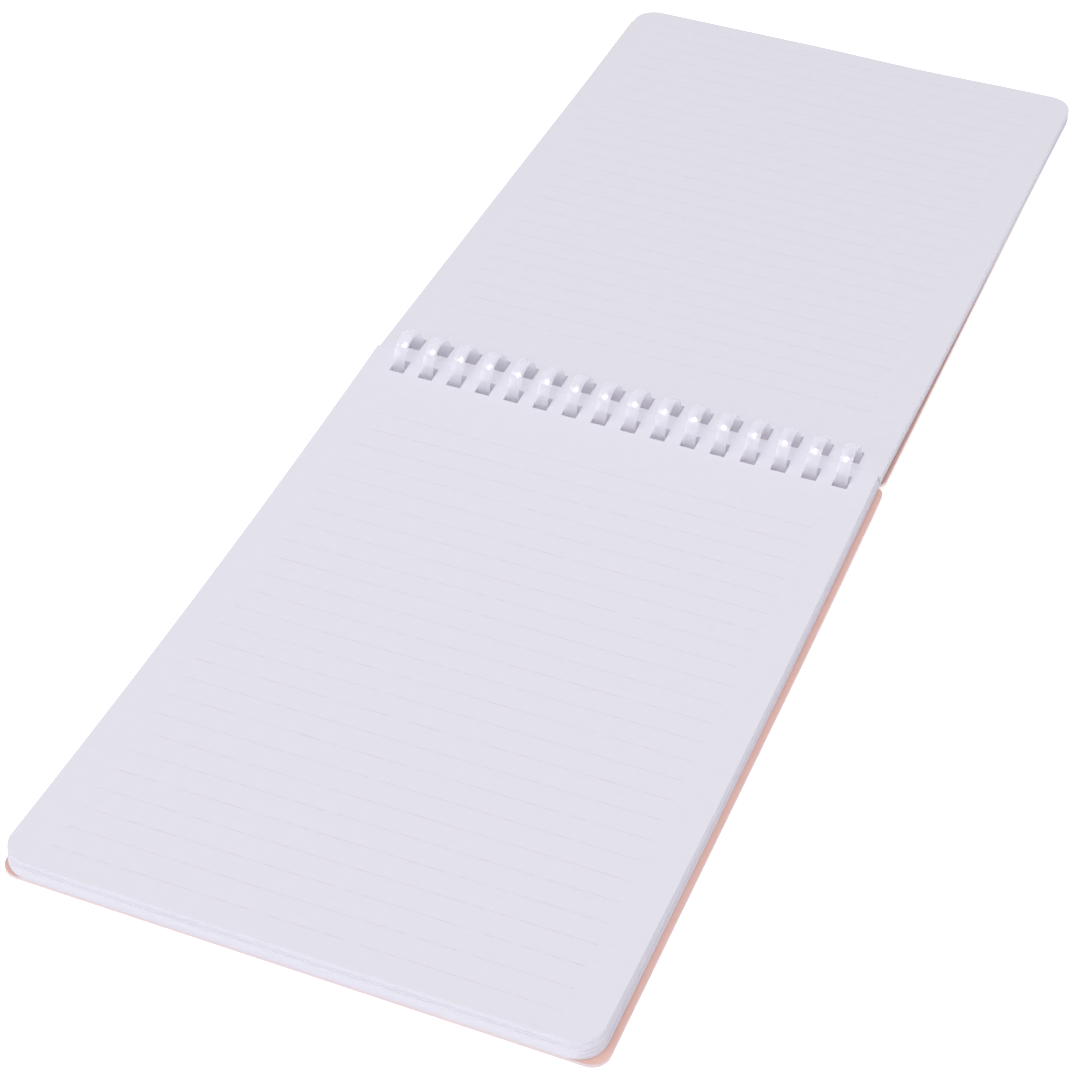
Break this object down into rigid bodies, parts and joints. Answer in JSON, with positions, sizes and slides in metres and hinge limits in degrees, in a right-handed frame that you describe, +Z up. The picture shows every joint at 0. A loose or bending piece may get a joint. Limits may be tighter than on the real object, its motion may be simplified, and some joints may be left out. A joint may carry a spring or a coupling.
{
  "type": "pocket notebook",
  "caption": "Top-bound pocket notebook lying open: two covers and ruled loose leaves that turn on a clear plastic ring comb through rectangular punched holes.",
  "frame": {"origin": "on the table, centred across the width, straight below the axis of the rings", "axes": "+X along the binding, +Y away from the rings towards the end of the opened front cover, +Z up"},
  "size_m": [0.1066, 0.2988, 0.0098],
  "materials": {
    "cover": "smooth matt coated board in pale peach pink",
    "page": "white uncoated writing paper, faintly ruled",
    "ring": "clear slightly milky glossy plastic"
  },
  "bodies": {
    "back_cover": {"back_cover": "cover"},
    "ring_comb": {"ring_comb": "ring"},
    "front_cover": {"front_cover": "cover"},
    "sheets_01_to_13": {"sheet_01": "page", "sheet_02": "page", "sheet_03": "page", "sheet_04": "page", "sheet_05": "page", "sheet_06": "page", "sheet_07": "page", "sheet_08": "page", "sheet_09": "page", "sheet_10": "page", "sheet_11": "page", "sheet_12": "page", "sheet_13": "page"},
    "sheets_14_to_26": {"sheet_14": "page", "sheet_15": "page", "sheet_16": "page", "sheet_17": "page", "sheet_18": "page", "sheet_19": "page", "sheet_20": "page", "sheet_21": "page", "sheet_22": "page", "sheet_23": "page", "sheet_24": "page", "sheet_25": "page", "sheet_26": "page"},
    "sheet_27": {"sheet_27": "page"},
    "sheet_28": {"sheet_28": "page"},
    "sheet_29": {"sheet_29": "page"},
    "sheet_30": {"sheet_30": "page"},
    "sheets_31_to_40": {"sheet_31": "page", "sheet_32": "page", "sheet_33": "page", "sheet_34": "page", "sheet_35": "page", "sheet_36": "page", "sheet_37": "page", "sheet_38": "page", "sheet_39": "page", "sheet_40": "page"},
    "sheets_41_to_50": {"sheet_41": "page", "sheet_42": "page", "sheet_43": "page", "sheet_44": "page", "sheet_45": "page", "sheet_46": "page", "sheet_47": "page", "sheet_48": "page", "sheet_49": "page", "sheet_50": "page"}
  },
  "joints": [
    {"name": "comb_roll", "type": "hinge", "parent": "back_cover", "child": "ring_comb", "pos_m": [0, 0, 0.0049], "axis": [1, 0, 0], "range_deg": [-7, 7]},
    {"name": "front_cover_turn", "type": "hinge", "parent": "back_cover", "child": "front_cover", "pos_m": [0, 0, 0.0049], "axis": [1, 0, 0], "range_deg": [0, 180]},
    {"name": "sheets_01_to_13_turn", "type": "hinge", "parent": "front_cover", "child": "sheets_01_to_13", "pos_m": [0, 0, 0.0049], "axis": [1, 0, 0], "range_deg": [0, 180]},
    {"name": "sheets_14_to_26_turn", "type": "hinge", "parent": "sheets_01_to_13", "child": "sheets_14_to_26", "pos_m": [0, 0, 0.0049], "axis": [1, 0, 0], "range_deg": [0, 180]},
    {"name": "sheet_27_turn", "type": "hinge", "parent": "sheets_14_to_26", "child": "sheet_27", "pos_m": [0, 0, 0.0049], "axis": [1, 0, 0], "range_deg": [0, 180]},
    {"name": "sheet_28_turn", "type": "hinge", "parent": "sheet_27", "child": "sheet_28", "pos_m": [0, 0, 0.0049], "axis": [1, 0, 0], "range_deg": [0, 180]},
    {"name": "sheets_41_to_50_turn", "type": "hinge", "parent": "back_cover", "child": "sheets_41_to_50", "pos_m": [0, 0, 0.0049], "axis": [-1, 0, 0], "range_deg": [0, 180]},
    {"name": "sheets_31_to_40_turn", "type": "hinge", "parent": "sheets_41_to_50", "child": "sheets_31_to_40", "pos_m": [0, 0, 0.0049], "axis": [-1, 0, 0], "range_deg": [0, 180]},
    {"name": "sheet_30_turn", "type": "hinge", "parent": "sheets_31_to_40", "child": "sheet_30", "pos_m": [0, 0, 0.0049], "axis": [-1, 0, 0], "range_deg": [0, 180]},
    {"name": "sheet_29_turn", "type": "hinge", "parent": "sheet_30", "child": "sheet_29", "pos_m": [0, 0, 0.0049], "axis": [-1, 0, 0], "range_deg": [0, 180]}
  ]
}
